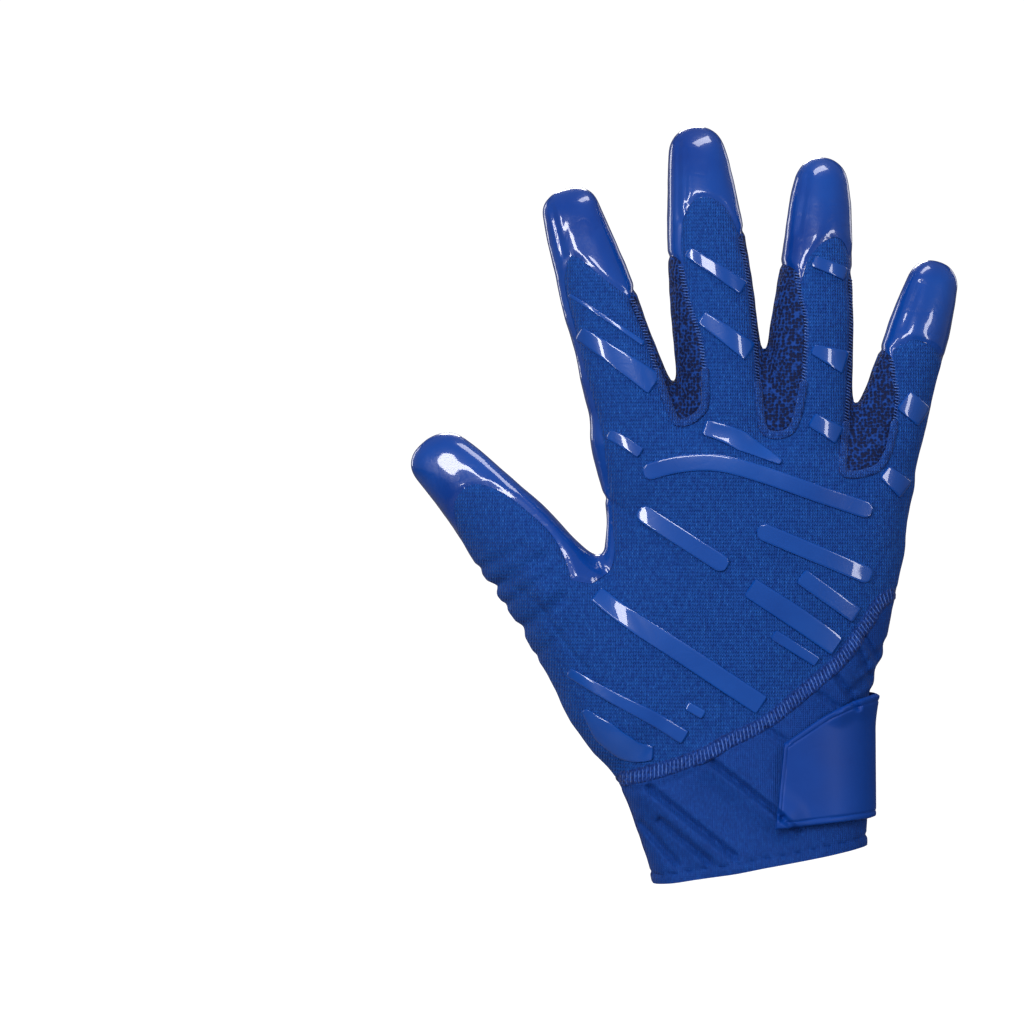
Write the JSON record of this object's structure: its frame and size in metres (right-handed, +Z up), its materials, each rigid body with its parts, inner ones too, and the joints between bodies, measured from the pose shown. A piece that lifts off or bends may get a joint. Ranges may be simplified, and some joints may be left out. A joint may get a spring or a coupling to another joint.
{
  "type": "football receiver glove",
  "caption": "Right-hand sport glove with a knit back, moulded ribs, a tacky leather palm and fingertips, mesh finger gussets, and a slit wrist closed by a strap over a hook patch.",
  "frame": {"origin": "centre of the wrist opening, at the hem", "axes": "+Z runs up from the wrist through the fingers, +Y out of the palm, -Y out of the back of the hand, +X towards the little finger"},
  "size_m": [0.17, 0.0552, 0.2348],
  "materials": {
    "palm_leather": "glossy tacky coated synthetic leather, royal blue",
    "back_knit": "heathered royal blue stretch knit",
    "gusset_mesh": "navy open mesh knit",
    "elastic": "ribbed royal blue elastic",
    "hook_patch": "dark blue hook-and-loop tape",
    "strap": "satin moulded rubber strap, blue",
    "ribs": "glossy moulded soft plastic, blue"
  },
  "bodies": {
    "root": {"palm_panel": "palm_leather", "thumb_panel": "palm_leather", "back_panel": "back_knit", "cuff_panel": "back_knit", "overlock_seam": "back_knit", "gusset_index_middle": "gusset_mesh", "gusset_middle_ring": "gusset_mesh", "gusset_ring_pinky": "gusset_mesh", "thumb_gusset": "gusset_mesh", "elastic_band": "elastic", "hook_patch": "hook_patch", "wrist_strap": "strap", "rib_knuckle_arc": "ribs", "rib_back_upper_left": "ribs", "rib_back_upper_right": "ribs", "rib_back_broad": "ribs", "rib_back_edge": "ribs", "rib_back_short": "ribs", "rib_back_long": "ribs", "rib_back_bar": "ribs", "rib_back_low": "ribs", "rib_thumb_base": "ribs", "rib_index_knuckle": "ribs", "rib_middle_knuckle": "ribs", "rib_ring_root": "ribs", "rib_pinky_root": "ribs", "rib_index_fine": "ribs", "rib_index": "ribs", "rib_middle_upper": "ribs", "rib_middle_lower": "ribs", "rib_ring_upper": "ribs", "rib_ring_lower": "ribs", "rib_pinky": "ribs"}
  },
  "joints": []
}
